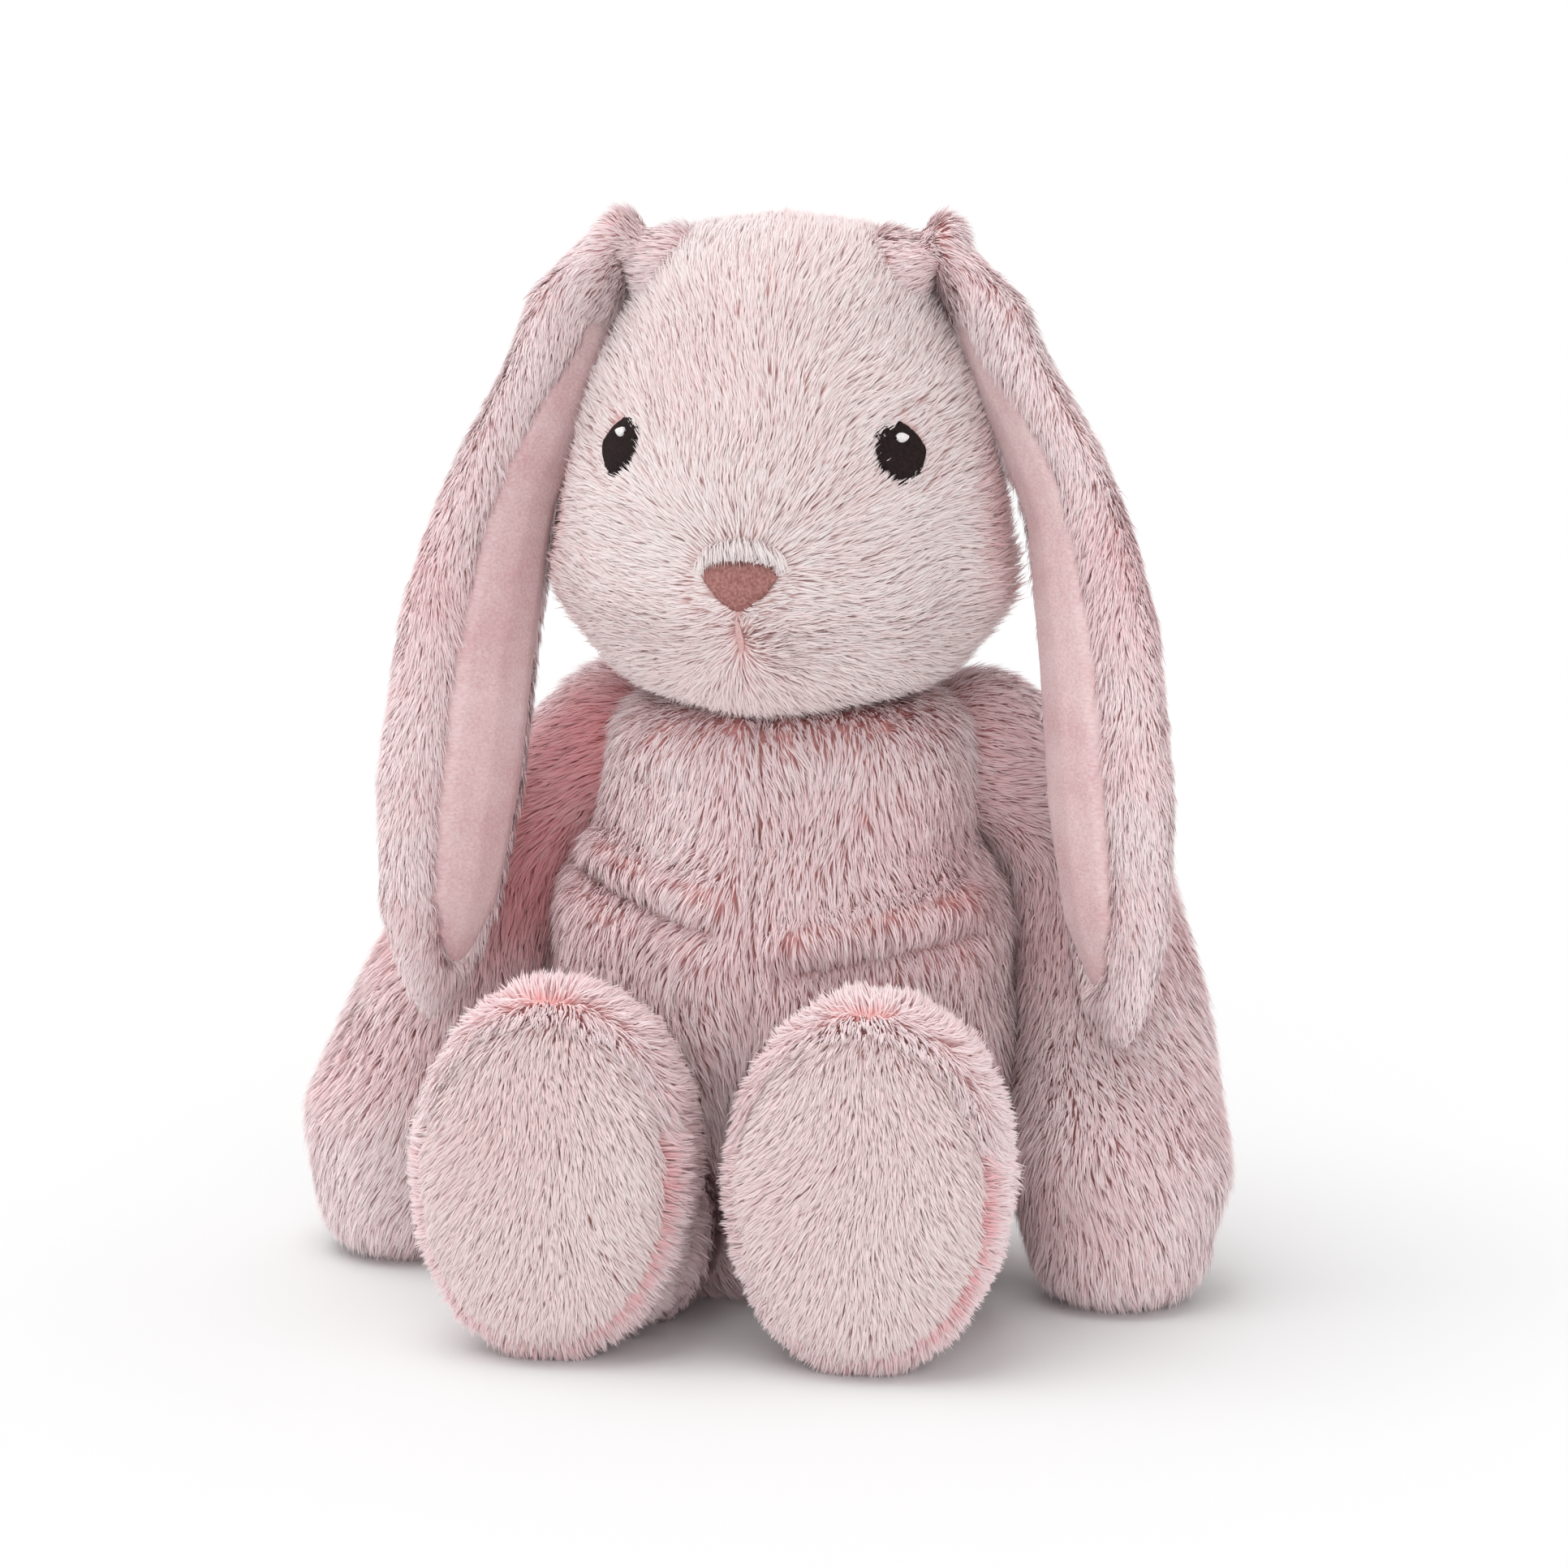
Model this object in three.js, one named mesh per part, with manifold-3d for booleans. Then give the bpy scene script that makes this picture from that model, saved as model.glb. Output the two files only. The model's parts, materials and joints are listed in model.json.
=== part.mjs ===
// A sitting plush bunny with long hanging ears, in millimetres.
//
// The bunny faces -Y with +Z up and X across it. Its own left side is +X. The origin is the
// middle of the flat seat on the floor. Every soft piece is a closed form at the height of
// its pressed-down pile: covers are open shells, and stuffing fills them.

import * as THREE from 'three';
import { LoftGeometry } from 'three/addons/geometries/LoftGeometry.js';
import { mergeVertices } from 'three/addons/utils/BufferGeometryUtils.js';
import Module from 'manifold-3d';

const wasm = await Module();
wasm.setup();

// ---- Driving dimensions ---------------------------------------------------------------

const COVER = 2.5;                 // thickness of the plush fabric, pile pressed down
const GAP = 0.4;                   // clearance between pieces that touch
const SOCKET_GAP = 1.4;            // clearance around a limb's round end
const OPENING = 0.6;               // a limb cover's opening, as a share of its joint's radius
const BELOW = -20;                 // a height well under the floor, for forms that aren't cut flat

const BODY_HEIGHT = 175;
const BODY_HALF_WIDTH = 68;
const BODY_FRONT = 56;
const BODY_BACK = 58;

const HEAD_BOTTOM = 176;
const HEAD_HEIGHT = 133;
const HEAD_HALF_WIDTH = 64;
const HEAD_FRONT = 76;
const HEAD_TAPER = 1.25;          // how far the face narrows towards the nose: 1 is an oval
const HEAD_BACK = 60;
const NECK = { centre: [0, 4, 172], radius: 28 };

const SHOULDER = { centre: [53, 20, 154], radius: 22 };
const ARM_DEPTH = 1.04;            // an arm's depth as a share of its width
const ARM_SLOPE = 0.4;             // how far an arm's cross-sections slope down towards the body
const HIP = { centre: [40, -56, 28.5], radius: 29 };
const EAR_ROOT = { centre: [34, -2, 298], radius: 11 };
const TAIL = { centre: [0, 68, 40], radius: 21, opening: 0.55 };
const LEG_ROOM = [0, 15, 30];      // lifts in degrees that the body leaves room for a leg at

const FOOT = { centre: [45, -86, 51.5], halfWidth: 37.5, halfHeight: 52.5, halfDepth: 21, lean: 8 };
const SOLE = { halfWidth: 30, halfHeight: 43, thickness: 2.5 };

const EYE = { middle: [21.6, -20, 251], turn: 45, halfWidth: 8.2, halfHeight: 9.2 };
const GLINT = { radius: 1.7, rise: 4.6, aside: 0.6 };
const NOSE = { middle: [0, -40, 217], width: 21, height: 14, thickness: 2.2 };
const MOUTH = { middle: [0, -40, 202.5], width: 1.8, height: 11 };
const STITCHING = 1.2;             // thickness of the embroidery

const PELLET_BAG = { halfWidth: 36, halfDepth: 32, height: 14, y: 4 };

// ---- Materials ------------------------------------------------------------------------

const plush = new THREE.MeshStandardMaterial({ color: 0xdcbcc1, roughness: 1, metalness: 0 });
const solePlush = new THREE.MeshStandardMaterial({ color: 0xe2cfcf, roughness: 1, metalness: 0 });
const velvet = new THREE.MeshStandardMaterial({ color: 0xd7a5a9, roughness: 0.85, metalness: 0 });
const eyeThread = new THREE.MeshStandardMaterial({ color: 0x1d1210, roughness: 0.4, metalness: 0 });
const whiteThread = new THREE.MeshStandardMaterial({ color: 0xf6f1ee, roughness: 0.5, metalness: 0 });
const noseThread = new THREE.MeshStandardMaterial({ color: 0xa26e6c, roughness: 0.6, metalness: 0 });
const fibre = new THREE.MeshStandardMaterial({ color: 0xf3efe9, roughness: 1, metalness: 0 });
const pellets = new THREE.MeshStandardMaterial({ color: 0xded8cc, roughness: 0.7, metalness: 0 });

// ---- Solids from three.js geometry ----------------------------------------------------

// Merges a geometry's shared points and drops triangles that have no area.
function weld(geometry) {
  const bare = new THREE.BufferGeometry();
  bare.setAttribute('position', geometry.getAttribute('position').clone());
  if (geometry.index) {
    bare.setIndex(geometry.index.clone());
  }
  const merged = mergeVertices(bare, 1e-3);
  const corners = merged.index.array;
  const kept = [];
  for (let i = 0; i < corners.length; i += 3) {
    const [a, b, c] = [corners[i], corners[i + 1], corners[i + 2]];
    if (a !== b && b !== c && c !== a) {
      kept.push(a, b, c);
    }
  }
  merged.setIndex(kept);
  return merged;
}

function signedVolume(geometry) {
  const points = geometry.getAttribute('position');
  const corners = geometry.index.array;
  const [a, b, c] = [new THREE.Vector3(), new THREE.Vector3(), new THREE.Vector3()];
  let volume = 0;
  for (let i = 0; i < corners.length; i += 3) {
    a.fromBufferAttribute(points, corners[i]);
    b.fromBufferAttribute(points, corners[i + 1]);
    c.fromBufferAttribute(points, corners[i + 2]);
    volume += a.dot(b.cross(c)) / 6;
  }
  return volume;
}

// Closes a geometry into a solid, moved outwards along its normals by `grow`.
function solidOf(geometry, grow = 0) {
  const closed = weld(geometry);
  if (signedVolume(closed) < 0) {
    closed.setIndex(Array.from(closed.index.array).reverse());
  }
  const points = closed.getAttribute('position');
  if (grow !== 0) {
    closed.computeVertexNormals();
    const normals = closed.getAttribute('normal');
    for (let i = 0; i < points.count; i += 1) {
      points.setXYZ(
        i,
        points.getX(i) + normals.getX(i) * grow,
        points.getY(i) + normals.getY(i) * grow,
        points.getZ(i) + normals.getZ(i) * grow,
      );
    }
  }
  const mesh = new wasm.Mesh({
    numProp: 3,
    vertProperties: new Float32Array(points.array),
    triVerts: new Uint32Array(closed.index.array),
  });
  return new wasm.Manifold(mesh);
}

function ball(centre, radius, around = 14) {
  const sphere = new THREE.SphereGeometry(radius, around, Math.round(around * 0.6));
  sphere.rotateX(Math.PI / 2);
  sphere.translate(...centre);
  return solidOf(sphere);
}

// A block that holds everything at and above a height.
function above(z) {
  const size = 1000;
  const box = new THREE.BoxGeometry(size, size, size);
  box.translate(0, 0, z + size / 2);
  return solidOf(box);
}

// An upright oval prism, or one of any outline, that runs from a point along a direction.
function prism(outline, from, turn, lean = 0, length = 60) {
  const block = new THREE.ExtrudeGeometry(outline, { depth: length, bevelEnabled: false, curveSegments: 6 });
  block.rotateX(Math.PI / 2 - THREE.MathUtils.degToRad(lean));
  block.rotateZ(THREE.MathUtils.degToRad(turn));
  block.translate(...from);
  return solidOf(block);
}

// The largest body of a solid, without the crumbs that a cut can leave.
function wholePiece(solid) {
  const bodies = solid.decompose();
  bodies.sort((one, other) => other.volume() - one.volume());
  return bodies[0];
}

// ---- Soft forms -----------------------------------------------------------------------

// Passes a smooth curve through rows of numbers and reads it at t, from 0 to 1.
function readRows(rows, t) {
  const place = t * (rows.length - 1);
  const i = Math.min(Math.floor(place), rows.length - 2);
  const f = place - i;
  const [before, start, end, after] = [
    rows[Math.max(i - 1, 0)],
    rows[i],
    rows[i + 1],
    rows[Math.min(i + 2, rows.length - 1)],
  ];
  return start.map((value, k) => {
    const leave = (end[k] - before[k]) / 2;
    const arrive = (after[k] - value) / 2;
    const step = end[k] - value;
    return value + f * (leave + f * (3 * step - 2 * leave - arrive + f * (leave + arrive - 2 * step)));
  });
}

// A form of oval rings along a spine. Each station is [x, y, z, wide, front, back], where
// `wide` is the half-width along `across`, and front and back are the reaches to either
// side of it. The first and last stations are points. A taper over 1 narrows the front.
function softForm(stations, across, rings, around, taper = 1) {
  const rows = stations.map(([x, y, z, wide, front, back]) => [x, y, z, wide ** 2, front ** 2, back ** 2]);
  const centre = (t) => new THREE.Vector3(...readRows(rows, t).slice(0, 3));
  const sections = [];
  for (let i = 0; i <= rings; i += 1) {
    const t = (1 - Math.cos((Math.PI * i) / rings)) / 2;
    const [wide, front, back] = readRows(rows, t)
      .slice(3)
      .map((square) => Math.sqrt(Math.max(square, 0)));
    const middle = centre(t);
    const along = centre(Math.min(t + 0.01, 1)).sub(centre(Math.max(t - 0.01, 0))).normalize();
    const side = across(t).clone();
    side.addScaledVector(along, -side.dot(along)).normalize();
    const over = along.clone().cross(side);
    const ring = [];
    for (let j = 0; j < around; j += 1) {
      const angle = (2 * Math.PI * j) / around;
      const [x, y] = [Math.cos(angle), Math.sin(angle)];
      const [reach, power] = y < 0 ? [front, taper] : [back, 1];
      ring.push(
        middle
          .clone()
          .addScaledVector(side, wide * Math.sign(x) * Math.abs(x) ** power)
          .addScaledVector(over, reach * Math.sign(y) * Math.abs(y) ** power),
      );
    }
    sections.push(ring);
  }
  return new LoftGeometry(sections);
}

const acrossX = () => new THREE.Vector3(1, 0, 0);

// Stations of an upright form from rows of fractions: [height, width, front, back].
function upright(fractions, bottom, height, halfWidth, front, back) {
  return fractions.map(([z, w, f, b]) => [0, 0, bottom + z * height, w * halfWidth, f * front, b * back]);
}

const HEAD_SHAPE = [
  [0, 0, 0, 0],
  [0.03, 0.5, 0.48, 0.46],
  [0.13, 0.87, 0.86, 0.78],
  [0.28, 1, 1, 0.95],
  [0.46, 0.97, 0.92, 1],
  [0.64, 0.9, 0.74, 0.94],
  [0.81, 0.73, 0.56, 0.76],
  [0.94, 0.46, 0.34, 0.48],
  [1, 0, 0, 0],
];

const BODY_SHAPE = [
  [-0.05, 0, 0, 0],
  [0, 0.76, 0.62, 0.72],
  [0.1, 0.95, 0.78, 0.93],
  [0.27, 1, 0.9, 1],
  [0.45, 0.98, 1, 0.93],
  [0.62, 0.9, 0.97, 0.8],
  [0.78, 0.75, 0.84, 0.68],
  [0.92, 0.62, 0.64, 0.56],
  [1, 0, 0, 0],
];

function headForm(grow) {
  const stations = upright(HEAD_SHAPE, HEAD_BOTTOM, HEAD_HEIGHT, HEAD_HALF_WIDTH, HEAD_FRONT, HEAD_BACK);
  return solidOf(softForm(stations, acrossX, 10, 16, HEAD_TAPER), grow);
}

// The body below its cut is flat: `floor` is where the cover or the stuffing stops.
function bodyForm(grow, floor) {
  const stations = upright(BODY_SHAPE, 0, BODY_HEIGHT, BODY_HALF_WIDTH, BODY_FRONT, BODY_BACK);
  return solidOf(softForm(stations, acrossX, 10, 14), grow).intersect(above(floor));
}

// side is 1 on the bunny's left, +X, and -1 on its right.
function mirrored(point, side) {
  return [point[0] * side, point[1], point[2]];
}

function armForm(side, grow, floor) {
  const [x, y, z] = SHOULDER.centre;
  const stations = [
    [x, y, z, 0],
    [x + 9, y, z - 4, 18],
    [x + 23, y + 3, z - 16, 21],
    [x + 37, y + 5, z - 44, 23],
    [x + 45, y - 4, z - 76, 26],
    [x + 50, y - 16, z - 104, 30.5],
    [x + 52, y - 26, z - 128, 30],
    [x + 52, y - 29, z - 147, 21],
    [x + 52, y - 30, z - 155, 0],
  ].map(([px, py, pz, radius]) => [px * side, py, pz, radius, radius * ARM_DEPTH, radius * ARM_DEPTH]);
  const across = () => new THREE.Vector3(1, 0, ARM_SLOPE * side);
  const limb = solidOf(softForm(stations, across, 8, 10), grow);
  const shoulder = ball(mirrored(SHOULDER.centre, side), SHOULDER.radius + grow);
  return limb.add(shoulder).intersect(above(floor));
}

function footForm(side, grow) {
  const { halfWidth, halfHeight, halfDepth } = FOOT;
  const stations = [
    [-1, 0],
    [-0.86, 0.6],
    [-0.45, 0.9],
    [0.1, 1],
    [0.6, 0.97],
    [0.9, 0.82],
    [1, 0],
  ].map(([depth, size]) => [0, -depth * halfDepth, 0, size * halfWidth, size * halfHeight, size * halfHeight]);
  const foot = softForm(stations, acrossX, 7, 14);
  foot.rotateX(THREE.MathUtils.degToRad(-FOOT.lean));
  foot.translate(...mirrored(FOOT.centre, side));
  return solidOf(foot, grow);
}

function thighForm(side, grow, floor) {
  const [x, y, z] = HIP.centre;
  const r = HIP.radius;
  const stations = [
    [x, y, z, 0],
    [x + 1, y - 10, z, r * 0.87],
    [x + 2, y - 21, z, r],
    [x + 4, y - 32, z + 3, r * 1.06],
    [x + 5, y - 43, z + 6, 0],
  ].map(([px, py, pz, radius]) => [px * side, py, pz, radius, radius, radius]);
  const thigh = solidOf(softForm(stations, acrossX, 4, 10), grow);
  return thigh.add(ball(mirrored(HIP.centre, side), r + grow)).intersect(above(floor));
}

function legForm(side, grow, floor) {
  return thighForm(side, grow, floor).add(footForm(side, grow).intersect(above(floor)));
}

// An ear's stations: [x, y, z, half-width from rim to rim, half-thickness].
const EAR = [
  [35, -2, 299, 0, 0],
  [43, -2, 302.5, 8.5, 6],
  [53, -3, 302, 13, 7],
  [62, -4, 289, 17, 7],
  [72, -7, 262, 18, 7.5],
  [81, -11, 236, 19, 8.5],
  [88, -16, 206, 21.5, 10],
  [92, -21, 174, 23.5, 11],
  [95, -25, 144, 23, 11],
  [97, -28, 116, 19, 9.5],
  [98, -30, 95, 11, 6],
  [98, -31, 83, 0, 0],
];
const EAR_TURN = 42;               // how far an ear's front rim is turned away from the head
const EAR_FOLD = [0.1, 0.3];       // where along the ear that turn starts and is complete

// The lining's first ear station and, as shares of the ear's half-width and half-thickness there,
// its own size and how far its middle is moved inwards and backwards.
const LINING = { first: 3, wide: 0.68, thick: 0.5, inward: 0.72, backward: 0.16 };

// The direction from an ear's back rim to its front rim. It turns outwards below the fold.
function earAcross(side, t) {
  const turn = THREE.MathUtils.degToRad(EAR_TURN) * THREE.MathUtils.smoothstep(t, ...EAR_FOLD);
  return new THREE.Vector3(Math.sin(turn) * side, -Math.cos(turn), 0);
}

function earForm(side, grow) {
  const stations = EAR.map(([x, y, z, wide, thick]) => [x * side, y, z, wide, thick, thick]);
  const panel = solidOf(softForm(stations, (t) => earAcross(side, t), 11, 10), grow);
  return panel.add(ball(mirrored(EAR_ROOT.centre, side), EAR_ROOT.radius + grow, 10));
}

// The lining lies in the inner face of the ear, nearer to the back rim than to the front.
function liningForm(side, grow) {
  const inner = EAR.slice(LINING.first, -1);
  const last = inner.length - 1;
  const earAt = (place) => (LINING.first + place) / (EAR.length - 1);
  const stations = inner.map(([x, y, z, wide, thick], i) => {
    const across = earAcross(side, earAt(i));
    const inward = new THREE.Vector3(across.y * side, -across.x * side, 0);
    const middle = new THREE.Vector3(x * side, y, z)
      .addScaledVector(inward, thick * LINING.inward)
      .addScaledVector(across, -wide * LINING.backward);
    const size = i === 0 || i === last ? 0 : 1;
    const [halfWidth, halfThick] = [wide * LINING.wide * size, thick * LINING.thick * size];
    return [middle.x, middle.y, middle.z, halfWidth, halfThick, halfThick];
  });
  return solidOf(softForm(stations, (t) => earAcross(side, earAt(t * last)), 8, 8), grow);
}

// ---- Pieces ---------------------------------------------------------------------------

const bunny = new THREE.Group();

// Turns a solid into a named mesh of the bunny.
function addPiece(name, solid, material) {
  const { numProp, vertProperties, triVerts } = wholePiece(solid).getMesh();
  const points = new Float32Array((vertProperties.length / numProp) * 3);
  for (let i = 0; i < points.length / 3; i += 1) {
    points.set(vertProperties.subarray(i * numProp, i * numProp + 3), i * 3);
  }
  const geometry = new THREE.BufferGeometry();
  geometry.setAttribute('position', new THREE.BufferAttribute(points, 3));
  geometry.setIndex(new THREE.BufferAttribute(new Uint32Array(triVerts), 1));
  geometry.computeVertexNormals();
  const mesh = new THREE.Mesh(geometry, material.clone());
  mesh.name = name;
  bunny.add(mesh);
}

const SIDES = [
  ['left', 1],
  ['right', -1],
];
const INSIDE = -COVER;             // a cover's inner surface
const FILL = -COVER - GAP;         // the stuffing's surface

// An embroidered or sewn-on patch: a layer of the form's surface inside a prism.
function patch(form, shape, lift, thickness) {
  return form(lift + thickness).subtract(form(lift)).intersect(shape);
}

function oval(halfWidth, halfHeight) {
  const outline = new THREE.Shape();
  outline.absellipse(0, 0, halfWidth, halfHeight, 0, 2 * Math.PI);
  return outline;
}

function neckSocket() {
  return ball(NECK.centre, NECK.radius + SOCKET_GAP);
}

function earSockets() {
  const [left, right] = SIDES.map(([, side]) =>
    ball(mirrored(EAR_ROOT.centre, side), EAR_ROOT.radius + SOCKET_GAP, 10),
  );
  return left.add(right);
}

function addHead() {
  const sockets = neckSocket().add(earSockets());
  addPiece('head_cover', headForm(0).subtract(headForm(INSIDE)).subtract(sockets), plush);
  addPiece('head_stuffing', headForm(FILL).subtract(sockets), fibre);
  addPiece('neck_stuffing', ball(NECK.centre, NECK.radius), fibre);
}

function eyePrism(side, outline, rise = 0, aside = 0) {
  const [x, y, z] = mirrored(EYE.middle, side);
  return prism(outline, [x + aside, y, z + rise], EYE.turn * side);
}

function addEyes() {
  for (const [name, side] of SIDES) {
    const eye = eyePrism(side, oval(EYE.halfWidth, EYE.halfHeight));
    addPiece(`eye_${name}`, patch(headForm, eye, GAP, STITCHING), eyeThread);
    const glint = eyePrism(side, oval(GLINT.radius, GLINT.radius), GLINT.rise, GLINT.aside);
    addPiece(`eye_glint_${name}`, patch(headForm, glint, 2 * GAP + STITCHING, STITCHING / 2), whiteThread);
  }
}

// A triangle with rounded corners, point down.
function noseOutline() {
  const [w, h] = [NOSE.width / 2, NOSE.height / 2];
  const outline = new THREE.Shape();
  outline.moveTo(-w * 0.6, h);
  outline.lineTo(w * 0.6, h);
  outline.quadraticCurveTo(w * 1.15, h * 0.95, w * 0.85, h * 0.25);
  outline.lineTo(w * 0.3, -h * 0.75);
  outline.quadraticCurveTo(0, -h * 1.2, -w * 0.3, -h * 0.75);
  outline.lineTo(-w * 0.85, h * 0.25);
  outline.quadraticCurveTo(-w * 1.15, h * 0.95, -w * 0.6, h);
  return outline;
}

function addMuzzle() {
  const nose = prism(noseOutline(), NOSE.middle, 0);
  addPiece('nose', patch(headForm, nose, GAP, NOSE.thickness), noseThread);
  const line = prism(oval(MOUTH.width / 2, MOUTH.height / 2), MOUTH.middle, 0);
  addPiece('mouth_stitch', patch(headForm, line, GAP, STITCHING), noseThread);
}

// Room for a leg in the body through its whole lift, as if the leg were pressed into it.
function legRoom(side) {
  let room = ball(mirrored(HIP.centre, side), HIP.radius + SOCKET_GAP);
  const hip = mirrored(HIP.centre, side);
  const thigh = thighForm(side, SOCKET_GAP, BELOW);
  for (const lift of LEG_ROOM) {
    const raised = thigh
      .translate(hip.map((value) => -value))
      .rotate([-lift, 0, 0])
      .translate(hip);
    room = room.add(raised);
  }
  return room;
}

function armRoom(side) {
  return ball(mirrored(SHOULDER.centre, side), SHOULDER.radius + SOCKET_GAP)
    .add(armForm(side, SOCKET_GAP, BELOW));
}

function pelletBag(grow) {
  const { halfWidth, halfDepth, height, y } = PELLET_BAG;
  const bag = new THREE.SphereGeometry(1, 14, 8);
  bag.rotateX(Math.PI / 2);
  bag.scale(halfWidth, halfDepth, height);
  bag.translate(0, y, COVER + GAP);
  return solidOf(bag, grow);
}

function addBody() {
  let room = neckSocket();
  for (const [, side] of SIDES) {
    room = room.add(legRoom(side)).add(armRoom(side));
  }
  const cover = bodyForm(0, 0).subtract(bodyForm(INSIDE, COVER)).subtract(room);
  addPiece('body_cover', cover, plush);
  const stuffing = bodyForm(FILL, COVER + GAP).subtract(room).subtract(pelletBag(GAP));
  addPiece('body_stuffing', stuffing, fibre);
  addPiece('seat_pellet_bag', pelletBag(0).intersect(above(COVER + GAP)), pellets);
}

// A limb's cover is open where it is sewn on: the opening is a short ball-ended hole.
function addLimb(kind, name, form, joint, inward, side) {
  const opening = ball(
    mirrored([joint.centre[0] + inward[0], joint.centre[1] + inward[1], joint.centre[2] + inward[2]], side),
    joint.radius * OPENING,
    10,
  );
  addPiece(`${kind}_cover_${name}`, form(side, 0, 0).subtract(form(side, INSIDE, COVER)).subtract(opening), plush);
  addPiece(`${kind}_stuffing_${name}`, form(side, FILL, COVER + GAP), fibre);
}

function addArms() {
  const inward = [-SHOULDER.radius, 0, 0];
  for (const [name, side] of SIDES) {
    addLimb('arm', name, armForm, SHOULDER, inward, side);
  }
}

function addLegs() {
  const inward = [0, HIP.radius, 0];
  for (const [name, side] of SIDES) {
    addLimb('leg', name, legForm, HIP, inward, side);
    const [x, , z] = FOOT.centre;
    const outline = prism(oval(SOLE.halfWidth, SOLE.halfHeight), [x * side, FOOT.centre[1], z], 0, FOOT.lean);
    const layer = patch((grow) => footForm(side, grow), outline, GAP, SOLE.thickness);
    addPiece(`foot_sole_${name}`, layer, solePlush);
  }
}

function addEars() {
  for (const [name, side] of SIDES) {
    addPiece(`ear_outer_${name}`, earForm(side, 0).subtract(liningForm(side, GAP)), plush);
    addPiece(`ear_lining_${name}`, liningForm(side, 0), velvet);
  }
}

function addTail() {
  const clear = bodyForm(GAP, BELOW);
  const { centre, radius, opening } = TAIL;
  const mouth = ball([centre[0], centre[1] - radius, centre[2]], radius * opening, 10);
  const cover = ball(centre, radius, 12).subtract(ball(centre, radius + INSIDE, 12)).subtract(clear);
  addPiece('tail_cover', cover.subtract(mouth), plush);
  addPiece('tail_stuffing', ball(centre, radius + FILL, 12).subtract(clear), fibre);
}

addHead();
addEyes();
addMuzzle();
addBody();
addArms();
addLegs();
addEars();
addTail();

export default bunny;
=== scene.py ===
"""Looks of the stuffed bunny rabbit: smooth stuffed skins that carry a pile of real fur strands."""

import json
import math

import bmesh
import bpy
import numpy as np
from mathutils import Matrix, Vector
from mathutils.bvhtree import BVHTree
from mathutils.kdtree import KDTree


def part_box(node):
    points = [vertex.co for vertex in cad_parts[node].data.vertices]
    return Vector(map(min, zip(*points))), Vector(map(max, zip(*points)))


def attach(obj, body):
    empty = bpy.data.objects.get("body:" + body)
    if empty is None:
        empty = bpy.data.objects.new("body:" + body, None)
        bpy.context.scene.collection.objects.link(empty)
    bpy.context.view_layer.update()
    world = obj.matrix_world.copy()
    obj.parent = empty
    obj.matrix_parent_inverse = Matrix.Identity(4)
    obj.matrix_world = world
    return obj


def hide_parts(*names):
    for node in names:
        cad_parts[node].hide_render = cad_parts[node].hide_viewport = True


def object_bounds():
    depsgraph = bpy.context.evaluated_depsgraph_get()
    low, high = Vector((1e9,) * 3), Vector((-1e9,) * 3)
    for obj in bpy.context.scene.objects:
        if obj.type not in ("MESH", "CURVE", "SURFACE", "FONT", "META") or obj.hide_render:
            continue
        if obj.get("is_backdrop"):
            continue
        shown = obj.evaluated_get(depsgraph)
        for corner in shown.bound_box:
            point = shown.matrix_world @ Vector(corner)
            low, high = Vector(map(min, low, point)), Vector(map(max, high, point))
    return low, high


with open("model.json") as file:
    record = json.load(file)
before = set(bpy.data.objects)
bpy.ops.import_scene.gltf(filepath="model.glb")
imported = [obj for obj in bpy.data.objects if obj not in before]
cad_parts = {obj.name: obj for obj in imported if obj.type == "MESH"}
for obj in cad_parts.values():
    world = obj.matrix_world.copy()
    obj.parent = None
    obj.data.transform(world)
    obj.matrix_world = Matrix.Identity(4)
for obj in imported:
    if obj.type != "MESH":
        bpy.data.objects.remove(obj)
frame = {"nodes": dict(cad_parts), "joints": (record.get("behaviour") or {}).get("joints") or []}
cad_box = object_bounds()

MM = 0.001
SIDES = {"left": 1, "right": -1}

# The pile, in metres.
PILE = 9.5 * MM          # how long a strand is
STRAND = 0.5 * MM        # how wide it is at its root
TUFT = 1.7 * MM          # the size of a tuft of strands
LONE_STRAND = 0.8 * MM   # the tuft size at which every strand would be a tuft of its own
BURIED = 7 * MM          # strands rooted deeper than this inside another skin are left out
SOFTNESS = 0.35          # how far each strand is shaded like the skin under it

# How many strands are sown for each piece, before the buried and unwanted ones are left out.
STRANDS = {
    "head_pile_front": 120000,
    "head_pile_back": 90000,
    "body_pile_front": 110000,
    "body_pile_back": 90000,
    "tail_pile": 12000,
    "neck_pile": 6000,
    "arm_pile": 66000,
    "leg_pile": 66000,
    "sole_pile": 90000,
    "ear_pile": 76000,
    "nose_fringe": 300,
}

# Embroidery, in metres: how far apart the threads lie, and their radius.
STITCH = (0.42 * MM, 0.34 * MM)
GLINT_STITCH = (0.35 * MM, 0.3 * MM)
THREAD_RINGS = 11
THREAD_CORNERS = 6

# The camera stands where the photographer stood.
VIEW_AZIMUTH = math.radians(10)
VIEW_ELEVATION = math.radians(11)
VIEW_DISTANCE = 1.65
VIEW_LENS = 129
AIM_HEIGHT = 147 * MM

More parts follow.
